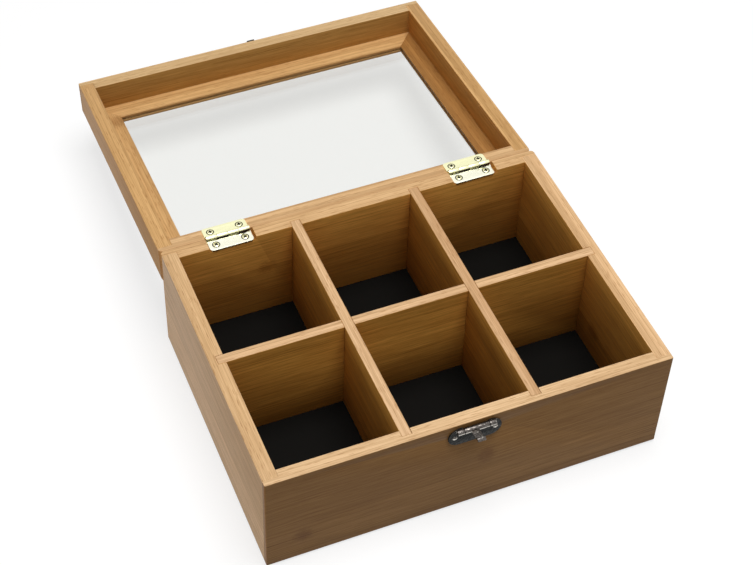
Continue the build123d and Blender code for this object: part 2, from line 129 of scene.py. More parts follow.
def pressed_bamboo():
    """The look of pressed bamboo in millimetres of its board: x along the grain, y through the
    board, z across its face. Strips differ in tone, fibres run along them as fine streaks and
    short pores, glue lines part them, and a strip may have a node where the culm was jointed."""
    tree = bpy.data.node_groups.new("pressed bamboo", "ShaderNodeTree")
    for name, kind in (("Place", "Vector"), ("Outward", "Vector"), ("Board", "Float"),
                       ("Strip", "Float"), ("Layer", "Float"), ("Face", "Color"),
                       ("Rim", "Color"), ("Streaks", "Float"), ("Joint", "Vector"),
                       ("Second joint", "Vector"), ("Rim height", "Float")):
        tree.interface.new_socket(name, in_out="INPUT", socket_type="NodeSocket" + kind)
    for name, kind in (("Colour", "Color"), ("Roughness", "Float"), ("Height", "Float")):
        tree.interface.new_socket(name, in_out="OUTPUT", socket_type="NodeSocket" + kind)
    given = add(tree, "NodeGroupInput").outputs
    place, board = apart(tree, given["Place"]), given["Board"]
    plus, minus, times, over = arithmetic(tree, "ADD", "SUBTRACT", "MULTIPLY", "DIVIDE")
    larger, floor, size, power = arithmetic(tree, "MAXIMUM", "FLOOR", "ABSOLUTE", "POWER")
    vec, spread, darken = partial(vector, tree), partial(stretch, tree), partial(tint, tree, "MULTIPLY")

    def scaled(where, along, through, up):
        """A place stretched by its own number each way."""
        return vec(times(where[0], along), times(where[1], through), times(where[2], up))

    def noise(where, detail, roughness=0.5):
        """Soft noise that is different on each board."""
        return add(tree, "ShaderNodeTexNoise", {"noise_dimensions": "4D"},
                   {"Vector": where, "W": board, "Scale": 1.0, "Detail": detail,
                    "Roughness": roughness}).outputs[0]

    def warm(value, green, blue):
        """A brightness made a tone: where it is dark, green and blue are darker still."""
        return vec(value, power(value, green), power(value, blue))

    # strips side by side up the face, and layers through the board
    across = over(plus(place[2], times(board, 2.71)), given["Strip"])
    through = over(plus(place[1], times(board, 1.37)), given["Layer"])
    strip = vec(floor(through), floor(across), board)
    chance = add(tree, "ShaderNodeTexWhiteNoise", {"noise_dimensions": "3D"}, {"Vector": strip})
    luck = chance.outputs["Value"]
    more_luck = add(tree, "ShaderNodeSeparateColor", None, {0: chance.outputs["Color"]}).outputs

    # fibres wander a little, and start afresh in each strip
    sway = noise(vec(times(place[0], 0.012), luck, 0.0), 1.0)
    drift = times(minus(sway, 0.5), 2.4)
    fibre = (plus(place[0], times(luck, 700.0)), plus(place[1], times(luck, 53.0)),
             plus(plus(place[2], drift), times(luck, 91.0)))
    coarse = noise(scaled(fibre, 0.018, 0.9, 0.9), 3.0, 0.6)
    fine = noise(scaled(fibre, 0.06, 3.2, 3.2), 2.0, 0.6)
    line = spread(noise(scaled(fibre, 0.010, 1.5, 1.5), 2.0), 0.60, 0.70)
    pores = add(tree, "ShaderNodeTexVoronoi", {"voronoi_dimensions": "3D"},
                {"Vector": scaled(fibre, 0.11, 1.25, 1.25), "Scale": 1.0}).outputs[0]
    pore = spread(pores, 0.30, 0.12)
    cloud = noise(scaled(place, 0.009, 0.05, 0.05), 2.0)

    # glue lines between strips, some fainter, and thinner ones between layers
    strip_gap = times(sums(tree, "PINGPONG", across, 0.5), given["Strip"])
    strip_glue = times(spread(strip_gap, 0.30, 0.06), spread(more_luck[1], 0.2, 0.8, 0.15, 1.0))
    layer_gap = times(sums(tree, "PINGPONG", through, 0.5), given["Layer"])
    glue = larger(strip_glue, times(spread(layer_gap, 0.24, 0.05), 0.6))

    # where the culm was jointed: a short ragged patch, darker and speckled
    joint_length, raggedness = 6.0, 2.2
    ragged = times(minus(noise(scaled(place, 0.35, 1.0, 1.3), 3.0, 0.7), 0.5), raggedness)
    knot = 0.0
    for joint in ("Joint", "Second joint"):
        spot = apart(tree, given[joint])
        out_x = over(minus(place[0], spot[0]), joint_length)
        out_z = over(minus(place[2], spot[1]), spot[2])
        near = sums(tree, "SQRT", plus(times(out_x, out_x), times(out_z, out_z)))
        knot = larger(knot, spread(plus(near, ragged), 1.15, 0.25))

    # which way this surface faces: out of the rim, up inside a recess, where it gets painted shade, or out
    # of the sawn end
    outward = apart(tree, given["Outward"])
    faces_up = spread(size(outward[2]), 0.45, 0.85)
    at_rim = sums(tree, "GREATER_THAN", size(place[2]), given["Rim height"])
    on_rim = times(faces_up, at_rim)
    recess_painted_shade = times(faces_up, minus(1.0, at_rim))
    on_end = spread(size(outward[0]), 0.45, 0.85)

    # each strip's own tone, then its streaks, then the marks that darken it, the last of them painted shade
    colour = tint(tree, "MIX", on_rim, given["Face"], given["Rim"])
    lighter = spread(luck, 0.0, 1.0, 0.88, 1.13, False)
    colour = darken(1.0, colour, warm(lighter, 1.15, 1.4))
    streak = plus(spread(coarse, 0.30, 0.70, -0.45, 0.45), spread(fine, 0.28, 0.72, -0.55, 0.55))
    streak = minus(streak, times(line, 0.7))
    streak = times(streak, times(given["Streaks"], minus(1.0, times(on_rim, 0.25))))
    colour = darken(1.0, colour, warm(plus(1.0, streak), 1.25, 1.6))
    pore = times(pore, plus(0.35, times(on_rim, 0.45)))
    marks = (
        # how far each mark shows, and the tone that it darkens by
        (spread(cloud, 0.35, 0.65, 0.0, 0.5), (0.90, 0.86, 0.80)),
        (pore, (0.66, 0.55, 0.45)),
        (times(glue, 0.55), (0.50, 0.38, 0.26)),
        (times(knot, 0.6), (0.52, 0.42, 0.34)),
        (times(on_end, 0.6), (0.72, 0.62, 0.52)),
        # painted shade on up-facing floors below the rim, such as the hinge mortises
        (recess_painted_shade, (0.36, 0.28, 0.20)),
    )
    for amount, tone in marks:
        colour = darken(amount, colour, tone)

    rough = plus(0.50, times(minus(fine, 0.5), 0.18))
    rough = plus(rough, times(larger(pore, glue), 0.12))
    height = minus(times(fine, 0.5), times(pore, 0.4))
    height = minus(height, times(glue, 0.6))
    add(tree, "NodeGroupOutput", None, {0: colour, 1: rough, 2: height})
    return tree


bamboo_look = pressed_bamboo()


def bamboo(name, node, along, board, face, rim, streaks, joints=(no_joint, no_joint), turned=0.0):
    """The material of one board, its pattern centred and turned to the board's own grain. A board
    of the lid is turned from the way it was planed, and its recesses have the rim's tone as well."""
    material = bpy.data.materials.new(name)
    material.use_nodes = True
    tree = material.node_tree
    tree.nodes.clear()
    turn = Euler((turned, 0.0, -quarter_turn if along == "y" else 0.0))
    low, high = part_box(node)
    middle = turn.to_matrix() @ ((low + high) * 0.5 * per_metre)
    rim_height = 0.0 if turned else (high - low).z * 0.5 * per_metre - rim_tone_depth
    where = add(tree, "ShaderNodeTexCoord").outputs
    place = add(tree, "ShaderNodeMapping", {"vector_type": "POINT"},
                {"Vector": where["Object"], "Location": -middle, "Rotation": turn,
                 "Scale": (per_metre, per_metre, per_metre)})
    outward = add(tree, "ShaderNodeMapping", {"vector_type": "VECTOR"},
                  {"Vector": where["Normal"], "Rotation": turn})
    look = add(tree, "ShaderNodeGroup", {"node_tree": bamboo_look},
               {"Place": place, "Outward": outward, "Board": board, "Strip": strip_width,
                "Layer": layer_thickness, "Face": (*face, 1), "Rim": (*rim, 1), "Streaks": streaks,
                "Joint": joints[0], "Second joint": joints[1], "Rim height": rim_height}).outputs
    raised = add(tree, "ShaderNodeBump", None, {"Strength": 0.5, "Distance": 0.12 * mm, "Height": look[2]})
    lacquer = add(tree, "ShaderNodeBsdfPrincipled", None,
                  {"Base Color": look[0], "Roughness": look[1], "Normal": raised,
                   "Specular IOR Level": 0.15})
    add(tree, "ShaderNodeOutputMaterial", None, {"Surface": lacquer})
    return material


def in_scene(name, data):
    """A new object in the scene."""
    thing = bpy.data.objects.new(name, data)
    bpy.context.scene.collection.objects.link(thing)
    return thing


def plain_mesh(holder):
    """The mesh that an object's modifiers make of it. The object goes, and they with it."""
    ready = holder.evaluated_get(bpy.context.evaluated_depsgraph_get())
    mesh = bpy.data.meshes.new_from_object(ready)
    bpy.data.objects.remove(holder)
    return mesh


def welded(mesh, gap, flat, slivers=False, outward=False):
    """A mesh whose loose triangles are joined, those that lie flat together made one face. It may
    also lose its slivers, and have its faces turned outwards."""
    shape = bmesh.new()
    shape.from_mesh(mesh)
    bmesh.ops.remove_doubles(shape, verts=shape.verts, dist=gap)
    if slivers:
        bmesh.ops.dissolve_degenerate(shape, edges=shape.edges, dist=gap)
    bmesh.ops.dissolve_limit(shape, angle_limit=radians(flat), verts=shape.verts, edges=shape.edges)
    if outward:
        bmesh.ops.recalc_face_normals(shape, faces=shape.faces)
    shape.to_mesh(mesh)
    shape.free()
    return mesh


def edges_turned(mesh, width, from_angle, rounds=2, look=-1):
    """A mesh with its sharp edges rounded over, in a material slot of their own where one is given."""
    raw = in_scene("raw", mesh)
    bevel = raw.modifiers.new("turned edges", "BEVEL")
    bevel.width, bevel.segments, bevel.material = width, rounds, look
    bevel.limit_method, bevel.angle_limit = "ANGLE", radians(from_angle)
    return plain_mesh(raw)


def smoothed(mesh, sharp_from):
    """A mesh shaded smooth, apart from edges sharper than an angle."""
    mesh.shade_smooth()
    mesh.set_sharp_from_angle(angle=radians(sharp_from))
    return mesh


def fitted(name, mesh, body, slot, *nodes):
    """Puts a finished mesh in the scene, on its body, in place of its CAD nodes."""
    piece = in_scene(name, mesh)
    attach(piece, body)
    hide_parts(*nodes)


def cut_board(name, node, body, material, slot):
    """A board as it leaves the saw, from the CAD node's faces, its sharp edges broken."""
    mesh = welded(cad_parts[node].data.copy(), gap=0.001 * mm, flat=0.6)
    mesh = smoothed(edges_turned(mesh, sanded_edge, from_angle=30), sharp_from=40)
    mesh.materials.clear()
    mesh.materials.append(material)
    fitted(name, mesh, body, slot, node)


for name, (node, along, seed, face_tone, rim_tone, joints) in wall_boards.items():
    look = bamboo("bamboo " + name, node, along, seed, face_tone, rim_tone, wall_streaks, joints)
    cut_board(name, node, "base", look, "box_wood")

# ---- Floor panel ----------------------------------------------------------------------------
# One thin panel faced in near-black satin film. It lies in a groove round the walls, where it
# was put before they were glued, and has no other fixing.
film_dark, film_light, film_gloss = (0.0034, 0.0031, 0.0026), (0.0056, 0.0052, 0.0045), 0.05
film = bpy.data.materials.new("black floor film")
film.use_nodes = True
tree = film.node_tree
black = tree.nodes["Principled BSDF"]
where = add(tree, "ShaderNodeTexCoord").outputs["Object"]
mottle = add(tree, "ShaderNodeTexNoise", None, {"Vector": where, "Scale": 900.0, "Detail": 3.0}).outputs[0]
tree.links.new(tint(tree, "MIX", mottle, film_dark, film_light), black.inputs["Base Color"])
tree.links.new(stretch(tree, mottle, 0.3, 0.7, 0.5, 0.62).outputs[0], black.inputs["Roughness"])
black.inputs["Specular IOR Level"].default_value = film_gloss
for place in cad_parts["floor_panel"].material_slots:
    place.material = film

# ---- Dividers -------------------------------------------------------------------------------
# Three thinner bamboo boards: the long one is slotted from the top, the two cross ones from
# below, so they lock over each other. Their ends stand in grooves that are open at the rims.
# The dividers' face tone is lightened as painted light, for faces that stand in the box's shade.
divider_face, divider_rim, divider_streaks = (0.63, 0.305, 0.058), (0.71, 0.455, 0.245), 0.33
dividers = {
    # name: CAD node, grain runs along, seed
    "long_divider_board": ("long_divider", "x", 41.0),
    "left_cross_divider_board": ("left_cross_divider", "y", 47.0),
    "right_cross_divider_board": ("right_cross_divider", "y", 59.0),
}
for name, (node, along, seed) in dividers.items():
    look = bamboo("bamboo " + name, node, along, seed, divider_face, divider_rim, divider_streaks)
    cut_board(name, node, "base", look, "divider_wood")

# ---- Lid ------------------------------------------------------------------------------------
# Four narrow rails of the same bamboo, joined like the walls, and four flat strips, mitred
# round the window and glued to the rails. They hang turned right back, as photographed.
lid_turn = radians(184.957)
lid_streaks = 0.26
rail_tone, strip_tone, shaded_strip_tone = (0.58, 0.31, 0.11), (0.60, 0.35, 0.14), (0.38, 0.18, 0.05)
# The right rail's face tone and the right strip's shaded tone are painted shade, for inner faces turned away
# from the lamps.
lid_boards = {
    # name: CAD node, grain runs along, seed, face tone, rim tone, first joint of the culm
    "lid_front_rail_board": ("lid_front_rail", "x", 61.0, (0.45, 0.235, 0.06), (0.63, 0.42, 0.21), no_joint),
    "lid_back_rail_board": ("lid_back_rail", "x", 67.0, rail_tone, (0.69, 0.44, 0.22), no_joint),
    "lid_left_rail_board": ("lid_left_rail", "y", 71.0, (0.48, 0.245, 0.075), strip_tone, no_joint),
    "lid_right_rail_board": ("lid_right_rail", "y", 73.0, (0.46, 0.20, 0.04), strip_tone, no_joint),
    "window_strip_front": ("window_frame_front", "x", 79.0, rail_tone, strip_tone, no_joint),
    "window_strip_back": ("window_frame_back", "x", 83.0, rail_tone, strip_tone, no_joint),
    "window_strip_left": ("window_frame_left", "y", 89.0, rail_tone, strip_tone, (-56, 0, 8)),
    "window_strip_right": ("window_frame_right", "y", 97.0, shaded_strip_tone, shaded_strip_tone, no_joint),
}
for name, (node, along, seed, face_tone, rim_tone, joint) in lid_boards.items():
    look = bamboo("bamboo " + name, node, along, seed, face_tone, rim_tone, lid_streaks,
                  (joint, no_joint), lid_turn)
    cut_board(name, node, "lid", look, "box_wood")

# ---- Pane -----------------------------------------------------------------------------------
# A sheet of clear plastic, cut square and held between the rails and the window strips. Lamps
# shine through it on to what lies below.
pane_tone, pane_shadow_tone = (0.872, 0.876, 0.855, 1), (0.93, 0.94, 0.935, 1)
glass = bpy.data.materials.new("clear pane")
glass.use_nodes = True
tree = glass.node_tree
tree.nodes.clear()
ray = add(tree, "ShaderNodeLightPath").outputs
sheet = add(tree, "ShaderNodeBsdfPrincipled", None,
            {"Base Color": pane_tone, "Roughness": 0.03, "IOR": 1.5, "Transmission Weight": 1.0})
through = add(tree, "ShaderNodeBsdfTransparent", None, {"Color": pane_shadow_tone})
lets_by = sums(tree, "MAXIMUM", ray["Is Shadow Ray"], ray["Is Diffuse Ray"])
both = add(tree, "ShaderNodeMixShader", None, {0: lets_by, 1: sheet, 2: through})
add(tree, "ShaderNodeOutputMaterial", None, {"Surface": both})
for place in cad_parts["window_pane"].material_slots:
    place.material = glass

# ---- Hinges ---------------------------------------------------------------------------------
# Two small butt hinges of pressed brass sheet, plated pale and bright. Each leaf's tabs are
# rolled round the pin into every second knuckle, and its screw holes are sunk a little. The
# lower leaves lie in mortises in the back board, the upper ones on the lid's rim.
hinge_pins = {"left": (-70.6, 157.35, 67.3), "right": (70.0, 157.35, 67.3)}
open_lid = Matrix.Rotation(-lid_turn, 4, "X")
hole_pitch, hole_reach, leaf_sheet = 16.2, 5.1, 0.7
leaf_millimetres = {
    "Length": 24.4, "Reach": 8.8, "Clear": 1.65, "Sheet": leaf_sheet, "Corner": 1.8, "Barrel": 1.3,
    "Pin room": 0.7, "Knuckle": 5.94, "Pitch": 6.1, "Hole": 1.15, "Sink": 2.3,
    "Hole pitch": hole_pitch, "Hole reach": hole_reach,
}
leaf_edge, rod_edge = 0.08 * mm, 0.25 * mm


def growing(name, sizes):
    """A geometry tree with a named input for each size, and its input sockets."""
    tree = bpy.data.node_groups.new(name, "GeometryNodeTree")
    tree.interface.new_socket("Geometry", in_out="OUTPUT", socket_type="NodeSocketGeometry")
    tree.interface.new_socket("Geometry", in_out="INPUT", socket_type="NodeSocketGeometry")
    for size, kind in sizes.items():
        tree.interface.new_socket(size, in_out="INPUT", socket_type="NodeSocket" + kind)
    tree.interface.new_socket("Finish", in_out="INPUT", socket_type="NodeSocketMaterial")
    return tree, add(tree, "NodeGroupInput").outputs


def put(tree, shape, place, turn=(0, 0, 0), scale=(1, 1, 1)):
    """A shape moved to its place, turned and scaled."""
    return add(tree, "GeometryNodeTransform", None,
               {"Geometry": shape, "Translation": place, "Rotation": turn, "Scale": scale})


def coat(tree, shape, finish):
    """A shape in one finish."""
    return add(tree, "GeometryNodeSetMaterial", None, {0: shape, "Material": finish})


def cut(tree, operation, base, *others):
    """Other shapes joined to a base, or cut out of it."""
    node = add(tree, "GeometryNodeMeshBoolean", {"operation": operation, "solver": "EXACT"})
    base_socket = "Mesh 1" if operation == "DIFFERENCE" else "Mesh 2"
    tree.links.new(base.outputs[0], node.inputs[base_socket])
    for other in others:
        tree.links.new(other.outputs[0], node.inputs["Mesh 2"])
    return node


def together(tree, *shapes):
    """Several shapes as one."""
    node = add(tree, "GeometryNodeJoinGeometry")
    for shape in shapes:
        tree.links.new(shape.outputs[0], node.inputs[0])
    return node


def at_points(tree, points, shape, turn=(0, 0, 0)):
    """A copy of a shape at each point."""
    return add(tree, "GeometryNodeInstanceOnPoints", None,
               {"Points": points, "Instance": shape, "Rotation": turn})


def real(tree, shape):
    """Real geometry in place of instances."""
    return add(tree, "GeometryNodeRealizeInstances", None, {0: shape})


def finished(tree, shape, finish, shade_and_grime=None):
    """Ends a geometry tree with real geometry in its finish, apart from what has the near-black finish of
    painted shade and grime.
    """
    coated = coat(tree, real(tree, shape), finish)
    if shade_and_grime:
        shaded_and_grimy = add(tree, "GeometryNodeMaterialSelection", None, {0: shade_and_grime})
        keeps_finish = add(tree, "FunctionNodeBooleanMath", {"operation": "NOT"}, {0: shaded_and_grimy})
        tree.links.new(keeps_finish.outputs[0], coated.inputs["Selection"])
    add(tree, "NodeGroupOutput", None, {0: coated})


def grown(tree, points, millimetres, others, finish):
    """The plain mesh that a tree makes of some points, with its inputs set by their names: its
    sizes in millimetres, and others as they are. Its finish comes first in its slots."""
    seed = bpy.data.meshes.new("points")
    seed.from_pydata(points, [], [])
    holder = in_scene("points", seed)
    grow = holder.modifiers.new("grow", "NODES")
    grow.node_group = tree
    values = {name: size * mm for name, size in millimetres.items()}
    values.update(others, Finish=finish)
    for item in tree.interface.items_tree:
        if item.in_out == "INPUT" and item.name in values:
            grow[item.identifier] = values[item.name]
    mesh = plain_mesh(holder)
    had = list(mesh.materials)
    used = [finish] + [m for m in had if m and m != finish]
    index = [used.index(had[f.material_index] or finish) for f in mesh.polygons]
    mesh.materials.clear()
    for material in used:
        mesh.materials.append(material)
    mesh.polygons.foreach_set("material_index", index)
    return mesh


def softened(mesh, edge, finish=None, edge_wear_and_highlight=None, outward=False, rounds=2):
    """A mesh with its sharp edges turned over a little, as tumbled or plated metal has, in one
    finish, with its edges in another, worn bright with a painted highlight, where one is given. With none
    given it keeps its own."""
    if finish:
        mesh.materials.clear()
        for material in (finish, edge_wear_and_highlight or finish):
            mesh.materials.append(material)
    mesh = welded(mesh, gap=0.002 * mm, flat=0.8, slivers=True, outward=outward)
    mesh = edges_turned(mesh, edge, from_angle=35, rounds=rounds, look=1 if edge_wear_and_highlight else -1)
    return smoothed(mesh, sharp_from=38)


def leaf_tree():
    """One leaf: a sheet with two round corners, tabs, rolled knuckles and sunk screw holes. The
    pin is on X, the leaf reaches towards -Y, and its back lies at minus the barrel's radius."""
    sizes = dict.fromkeys(leaf_millimetres, "Float")
    sizes.update({"First": "Float", "Shade and grime": "Material"})
    tree, given = growing("rolled hinge leaf", sizes)
    make, vec, move, build = (partial(tool, tree) for tool in (add, vector, put, cut))
    plus, minus, times = arithmetic(tree, "ADD", "SUBTRACT", "MULTIPLY")
    sheet, barrel, length, clear = given["Sheet"], given["Barrel"], given["Length"], given["Clear"]

    # the sheet, its inner corners square and its outer ones round
    deep = minus(given["Reach"], clear)
    mid_y = times(plus(given["Reach"], clear), -0.5)
    mid_z = minus(times(sheet, 0.5), barrel)
    rim = make("GeometryNodeCurvePrimitiveQuadrilateral", None, {"Width": length, "Height": deep})
    rim = make("GeometryNodeFilletCurve", {"mode": "POLY"},
               {"Curve": rim, "Radius": given["Corner"], "Count": 8})
    flat = make("GeometryNodeFillCurve", {"mode": "NGONS"}, {"Curve": rim})
    thick = make("GeometryNodeExtrudeMesh", None,
                 {"Mesh": flat, "Offset": vec(0.0, 0.0, 1.0), "Offset Scale": sheet, "Individual": False})
    under = make("GeometryNodeFlipFaces", None, {0: flat})
    slab = make("GeometryNodeMergeByDistance", None,
                {"Geometry": together(tree, thick, under), "Distance": 0.001 * mm})
    slab = move(slab, vec(0.0, mid_y, times(barrel, -1.0)))
    square = minus(deep, given["Corner"])
    inner = make("GeometryNodeMeshCube", None, {"Size": vec(length, square, sheet)})
    inner = move(inner, vec(0.0, times(plus(clear, times(square, 0.5)), -1.0), mid_z))

    # knuckles stand at every second pitch along the pin
    first_x = times(given["Pitch"], minus(given["First"], 1.5))
    next_x = times(given["Pitch"], 2.0)
    line = make("GeometryNodeMeshLine", None,
                {"Count": 2, "Start Location": vec(first_x, 0.0, 0.0), "Offset": vec(next_x, 0.0, 0.0)})
    tab_long = plus(clear, given["Corner"])
    tab = make("GeometryNodeMeshCube", None, {"Size": vec(given["Knuckle"], tab_long, sheet)})
    tab = move(tab, vec(0.0, times(tab_long, -0.5), mid_z))
    tabs = real(tree, at_points(tree, line, tab))
    roll_radius = times(plus(barrel, given["Pin room"]), 0.5)
    loop = make("GeometryNodeCurveArc", {"mode": "RADIUS"},
                {"Resolution": 28, "Radius": roll_radius, "Start Angle": radians(-97),
                 "Sweep Angle": radians(294)})
    strip = make("GeometryNodeCurvePrimitiveQuadrilateral", None,
                 {"Width": minus(barrel, given["Pin room"]), "Height": given["Knuckle"]})
    roll = make("GeometryNodeCurveToMesh", None,
                {"Curve": loop, "Profile Curve": strip, "Fill Caps": True})
    roll = move(roll, (0, 0, 0), (pi / 2, 0, pi / 2))
    rolls = coat(tree, real(tree, at_points(tree, line, roll)), given["Finish"])

    # the pin's room, and the screw holes, sunk from above
    bore = make("GeometryNodeMeshCylinder", None,
                {"Vertices": 32, "Radius": given["Pin room"], "Depth": times(length, 1.2)})
    bore = move(bore, (0, 0, 0), (0, pi / 2, 0))
    hole = make("GeometryNodeMeshCylinder", None,
                {"Vertices": 24, "Radius": given["Hole"], "Depth": times(sheet, 4.0)})
    sink = make("GeometryNodeMeshCone", None,
                {"Vertices": 24, "Radius Top": given["Sink"], "Radius Bottom": given["Hole"],
                 "Depth": times(sheet, 0.62)})
    # the sinks are in the near-black finish: painted shade round the screw heads
    sink = move(coat(tree, sink, given["Shade and grime"]), vec(0.0, 0.0, times(sheet, -0.05)))
    start = vec(times(given["Hole pitch"], -0.5), times(given["Hole reach"], -1.0), mid_z)
    spots = make("GeometryNodeMeshLine", None,
                 {"Count": 2, "Start Location": start, "Offset": vec(given["Hole pitch"], 0.0, 0.0)})
    drilled, sunk = (real(tree, at_points(tree, spots, shape)) for shape in (hole, sink))

    blank = coat(tree, build("UNION", slab, inner, tabs), given["Finish"])
    blank = build("DIFFERENCE", blank, bore, drilled, sunk)
    finished(tree, build("UNION", blank, rolls), given["Finish"], given["Shade and grime"])
    return tree


def plate(name, colour, roughness, wear, spot=700.0, dents=0.0, fleck_highlight=None, lower_front_glint=0.0, skin=None):
    """A metal finish whose gloss and tone vary softly, as buffed plating does. It may be dented by
    tumbling, have bright flecks that are painted highlights, most of all along its lower front as a
    painted reflection of the table below, and be covered by a skin that isn't metal, with that gloss."""
    material = bpy.data.materials.new(name)
    material.use_nodes = True
    tree = material.node_tree
    shader = tree.nodes["Principled BSDF"]
    plus, times = arithmetic(tree, "ADD", "MULTIPLY")
    spread = partial(stretch, tree)
    where = add(tree, "ShaderNodeTexCoord").outputs

    def noise(place, scale, detail, rough=0.5):
        """Soft noise at one scale."""
        return add(tree, "ShaderNodeTexNoise", None,
                   {"Vector": place, "Scale": scale, "Detail": detail, "Roughness": rough}).outputs[0]

    soft = noise(where["Object"], spot, 3.0)
    buffed = add(tree, "ShaderNodeMapping", None, {"Vector": where["Object"], "Scale": (300, 4000, 4000)})
    lines = noise(buffed, 1.0, 2.0)
    tone = tint(tree, "MIX", spread(soft, 0.3, 0.7), colour, tuple(c * wear for c in colour))
    if fleck_highlight:
        # bright flecks are painted highlights of the hammered skin; a band of them on faces turned down and
        # forward is a painted reflection of the white table below
        highlight_specks = noise(where["Object"], 1900.0, 3.0, 0.65)
        facing = apart(tree, where["Normal"])
        glint_band = spread(sums(tree, "ABSOLUTE", plus(facing[2], 0.12)), 0.32, 0.14, 0.0, lower_front_glint)
        glint_band = times(glint_band, spread(facing[1], -0.5, -0.8))
        highlight_specks = plus(spread(highlight_specks, 0.60, 0.70), times(glint_band, spread(highlight_specks, 0.30, 0.55)))
        tone = tint(tree, "MIX", sums(tree, "MINIMUM", highlight_specks, 0.9), tone, fleck_highlight)
    tree.links.new(tone, shader.inputs["Base Color"])
    rough = plus(spread(soft, 0.3, 0.7, roughness * 0.8, roughness * 1.3), times(lines, 0.06))
    tree.links.new(rough.outputs[0], shader.inputs["Roughness"])
    raised = add(tree, "ShaderNodeBump", None, {"Strength": 0.25, "Distance": 0.04 * mm, "Height": lines})
    if dents:
        hollow = add(tree, "ShaderNodeTexVoronoi", {"feature": "SMOOTH_F1"},
                     {"Vector": where["Object"], "Scale": 560.0, "Smoothness": 0.6}).outputs[0]
        hollow = plus(hollow, times(soft, 0.8))
        raised = add(tree, "ShaderNodeBump", None,
                     {"Strength": 0.8, "Distance": dents, "Height": hollow, "Normal": raised})
    tree.links.new(raised.outputs[0], shader.inputs["Normal"])
    shader.inputs["Metallic"].default_value = 1.0 if skin is None else 0.0
    if skin is not None:
        shader.inputs["Specular IOR Level"].default_value = skin
    return material


# A near-black finish that is painted shade in the hinge sinks, the screws' cross recesses and the knuckles'
# ends and lower front, with some grime where it gathers there.
shade_and_grime = plate("painted shade and grime in the sinks and recesses", (0.010, 0.008, 0.005), 0.75, 0.5, skin=0.1)
pale_brass = plate("pale brass plating", (0.96, 0.945, 0.60), 0.22, 0.93)
buffed_brass = plate("buffed brass plating", (0.985, 0.975, 0.80), 0.20, 0.93)
leaf = leaf_tree()


def knuckles_plated_and_shaded(mesh, pin):
    """Gives a leaf's knuckles the pale plating, and painted shade in the near-black finish to their ends and
    to their lower front, which faces away from the light.
    """
    mesh.materials.append(pale_brass)
    pale, shaded_and_grimy = len(mesh.materials) - 1, list(mesh.materials).index(shade_and_grime)
    for face in mesh.polygons:
        out = Vector((face.center.y - pin[1] * mm, face.center.z - pin[2] * mm))
        if out.length < leaf_millimetres["Barrel"] * mm * 1.04:
            at_end = abs(face.normal.x) > 0.9
            # the lower front of a knuckle, turned from the light, gets painted shade
            shaded = face.normal.y < -0.2 and face.normal.z < 0.32
            face.material_index = shaded_and_grimy if at_end or shaded else pale
    return mesh


for side, pin in hinge_pins.items():
    at_pin = Matrix.Translation(Vector(pin) * mm)
    lower = grown(leaf, [(0, 0, 0)], leaf_millimetres, {"Shade and grime": shade_and_grime, "First": 0.0}, buffed_brass)
    lower.transform(at_pin)
    lower = knuckles_plated_and_shaded(softened(lower, leaf_edge), pin)
    fitted(side + "_hinge_lower_leaf", lower, "base", "hinge_brass", side + "_hinge_base_leaf")
    upper = grown(leaf, [(0, 0, 0)], leaf_millimetres, {"Shade and grime": shade_and_grime, "First": 1.0}, pale_brass)
    upper.transform(at_pin @ open_lid @ Matrix.Scale(-1, 4, (0, 0, 1)))
    upper = knuckles_plated_and_shaded(softened(upper, leaf_edge, outward=True), pin)
    fitted(side + "_hinge_upper_leaf", upper, "lid", "hinge_brass", side + "_hinge_lid_leaf")
    rod = softened(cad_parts[side + "_hinge_pin"].data.copy(), rod_edge, pale_brass, rounds=3)
    fitted(side + "_hinge_rod", rod, "base", "hinge_brass", side + "_hinge_pin")

# ---- Hinge screws ---------------------------------------------------------------------------
# Eight small brass wood screws with raised heads and a tapered cross recess, driven through the
# leaves: a low crowned head, a thread rolled on the shank, and a gimlet point.
screw_millimetres = {
    "Head": 1.65, "Crown": 0.45, "Rim": 0.12, "Recess": 2.5, "Slot": 0.9, "Recess depth": 0.42,
    "Core": 0.72, "Thread": 0.98, "Shank": 9.0, "Point": 2.0,
}
thread_turns = 6.5


def domed(tree, head, height, rise, segments, rings, sides):
    """A ball squashed to a head's radius and height, and the block that its lower half goes in."""
    low = sums(tree, "MULTIPLY", head, 2.0)
    ball = add(tree, "GeometryNodeMeshUVSphere", None, {"Segments": segments, "Rings": rings, "Radius": 1.0})
    dome = put(tree, ball, rise, (0, 0, 0), vector(tree, head, head, height))
    below = add(tree, "GeometryNodeMeshCylinder", None, {"Vertices": sides, "Radius": low, "Depth": low})
    return dome, put(tree, below, vector(tree, 0.0, 0.0, sums(tree, "MULTIPLY", low, -0.5)))


